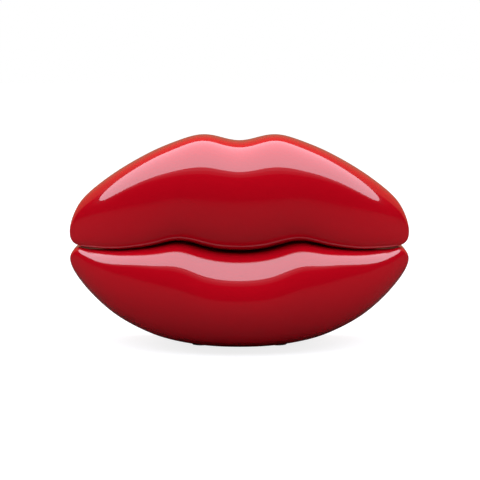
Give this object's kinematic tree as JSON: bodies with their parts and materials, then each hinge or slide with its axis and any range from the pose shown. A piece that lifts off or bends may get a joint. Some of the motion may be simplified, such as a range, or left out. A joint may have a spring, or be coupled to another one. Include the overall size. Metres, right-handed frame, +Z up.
{
  "type": "novelty shaped telephone",
  "caption": "Desk telephone shaped like a pair of glossy red lips: the upper lip lifts off as the handset, over a keypad in the lower lip.",
  "frame": {"origin": "on the desk, under the centre of the whole telephone's box", "axes": "+X along the mouth, to the viewer's right; -Y out of the front of the lips; +Z up"},
  "size_m": [0.2198, 0.088, 0.1381],
  "materials": {
    "red_shell": "high gloss moulded red plastic",
    "black_plastic": "fine satin texture",
    "key_plastic": "satin ivory with dark legends",
    "key_rubber": "translucent grey silicone",
    "plunger_plastic": "smooth acetal",
    "switch_plastic": "moulded black",
    "knob_plastic": "satin pale grey",
    "jack_plastic": "moulded black with gilt contacts",
    "screw_steel": "zinc plated",
    "spring_steel": "drawn wire",
    "capsule_metal": "pressed can",
    "weight_metal": "dull plated",
    "soft_rubber": "matt black",
    "board_laminate": "green lacquered laminate",
    "chip_plastic": "moulded epoxy",
    "transformer_iron": "laminated core with taped winding",
    "capacitor_sleeve": "shrunk sleeve",
    "sounder_plastic": "moulded black"
  },
  "bodies": {
    "base": {"lower_lip_shell": "red_shell", "base_rear_cover": "red_shell", "cradle_deck": "black_plastic", "bottom_cover": "black_plastic", "base_screws": "screw_steel", "board_screws": "screw_steel", "cradle_pads": "soft_rubber", "rubber_feet": "soft_rubber", "key_mat": "key_rubber", "ballast_plate": "weight_metal", "line_jack": "jack_plastic", "base_handset_jack": "jack_plastic", "key_circuit_board": "board_laminate", "main_circuit_board": "board_laminate", "hook_switch": "switch_plastic", "ringer_switch": "switch_plastic", "dial_mode_switch": "switch_plastic", "hook_spring": "spring_steel", "dialler_chip": "chip_plastic", "line_transformer": "transformer_iron", "board_capacitors": "capacitor_sleeve", "ringer_sounder": "sounder_plastic"},
    "handset": {"upper_lip_shell": "red_shell", "handset_rear_cover": "red_shell", "handset_face_plate": "black_plastic", "handset_screws": "screw_steel", "receiver_gasket": "soft_rubber", "receiver_capsule": "capsule_metal", "microphone_boot": "soft_rubber", "microphone_capsule": "capsule_metal", "handset_weight": "weight_metal", "handset_jack": "jack_plastic"},
    "hook_plunger": {"hook_plunger": "plunger_plastic"},
    "ringer_switch_knob": {"ringer_switch_knob": "knob_plastic"},
    "dial_mode_switch_knob": {"dial_mode_switch_knob": "knob_plastic"},
    "key_1": {"key_1": "key_plastic"},
    "key_2": {"key_2": "key_plastic"},
    "key_3": {"key_3": "key_plastic"},
    "key_4": {"key_4": "key_plastic"},
    "key_5": {"key_5": "key_plastic"},
    "key_6": {"key_6": "key_plastic"},
    "key_7": {"key_7": "key_plastic"},
    "key_8": {"key_8": "key_plastic"},
    "key_9": {"key_9": "key_plastic"},
    "key_star": {"key_star": "key_plastic"},
    "key_0": {"key_0": "key_plastic"},
    "key_hash": {"key_hash": "key_plastic"},
    "key_redial": {"key_redial": "key_plastic"},
    "key_flash": {"key_flash": "key_plastic"}
  },
  "joints": [
    {"name": "handset_lift", "type": "slide", "parent": "base", "child": "handset", "axis": [0, 0, 1], "range_m": [0, 0.12]},
    {"name": "hook_plunger_rise", "type": "slide", "parent": "base", "child": "hook_plunger", "axis": [0, 0, 1], "range_m": [0, 0.004], "deforming": ["hook_spring"]},
    {"name": "key_1_press", "type": "slide", "parent": "base", "child": "key_1", "axis": [0, 0, -1], "range_m": [0, 0.0012], "stiffness_N_per_m": 300, "springref_m": -0.001},
    {"name": "key_2_press", "type": "slide", "parent": "base", "child": "key_2", "axis": [0, 0, -1], "range_m": [0, 0.0012], "stiffness_N_per_m": 300, "springref_m": -0.001},
    {"name": "key_3_press", "type": "slide", "parent": "base", "child": "key_3", "axis": [0, 0, -1], "range_m": [0, 0.0012], "stiffness_N_per_m": 300, "springref_m": -0.001},
    {"name": "key_4_press", "type": "slide", "parent": "base", "child": "key_4", "axis": [0, 0, -1], "range_m": [0, 0.0012], "stiffness_N_per_m": 300, "springref_m": -0.001},
    {"name": "key_5_press", "type": "slide", "parent": "base", "child": "key_5", "axis": [0, 0, -1], "range_m": [0, 0.0012], "stiffness_N_per_m": 300, "springref_m": -0.001},
    {"name": "key_6_press", "type": "slide", "parent": "base", "child": "key_6", "axis": [0, 0, -1], "range_m": [0, 0.0012], "stiffness_N_per_m": 300, "springref_m": -0.001},
    {"name": "key_7_press", "type": "slide", "parent": "base", "child": "key_7", "axis": [0, 0, -1], "range_m": [0, 0.0012], "stiffness_N_per_m": 300, "springref_m": -0.001},
    {"name": "key_8_press", "type": "slide", "parent": "base", "child": "key_8", "axis": [0, 0, -1], "range_m": [0, 0.0012], "stiffness_N_per_m": 300, "springref_m": -0.001},
    {"name": "key_9_press", "type": "slide", "parent": "base", "child": "key_9", "axis": [0, 0, -1], "range_m": [0, 0.0012], "stiffness_N_per_m": 300, "springref_m": -0.001},
    {"name": "key_star_press", "type": "slide", "parent": "base", "child": "key_star", "axis": [0, 0, -1], "range_m": [0, 0.0012], "stiffness_N_per_m": 300, "springref_m": -0.001},
    {"name": "key_0_press", "type": "slide", "parent": "base", "child": "key_0", "axis": [0, 0, -1], "range_m": [0, 0.0012], "stiffness_N_per_m": 300, "springref_m": -0.001},
    {"name": "key_hash_press", "type": "slide", "parent": "base", "child": "key_hash", "axis": [0, 0, -1], "range_m": [0, 0.0012], "stiffness_N_per_m": 300, "springref_m": -0.001},
    {"name": "key_redial_press", "type": "slide", "parent": "base", "child": "key_redial", "axis": [0, 0, -1], "range_m": [0, 0.0012], "stiffness_N_per_m": 300, "springref_m": -0.001},
    {"name": "key_flash_press", "type": "slide", "parent": "base", "child": "key_flash", "axis": [0, 0, -1], "range_m": [0, 0.0012], "stiffness_N_per_m": 300, "springref_m": -0.001},
    {"name": "ringer_switch_knob_slide", "type": "slide", "parent": "base", "child": "ringer_switch_knob", "axis": [1, 0, 0], "range_m": [0, 0.004]},
    {"name": "dial_mode_switch_knob_slide", "type": "slide", "parent": "base", "child": "dial_mode_switch_knob", "axis": [1, 0, 0], "range_m": [0, 0.004]}
  ],
  "couplings": [
    {"joint": "hook_plunger_rise", "follows": "handset_lift", "ratio": 0.0333}
  ]
}
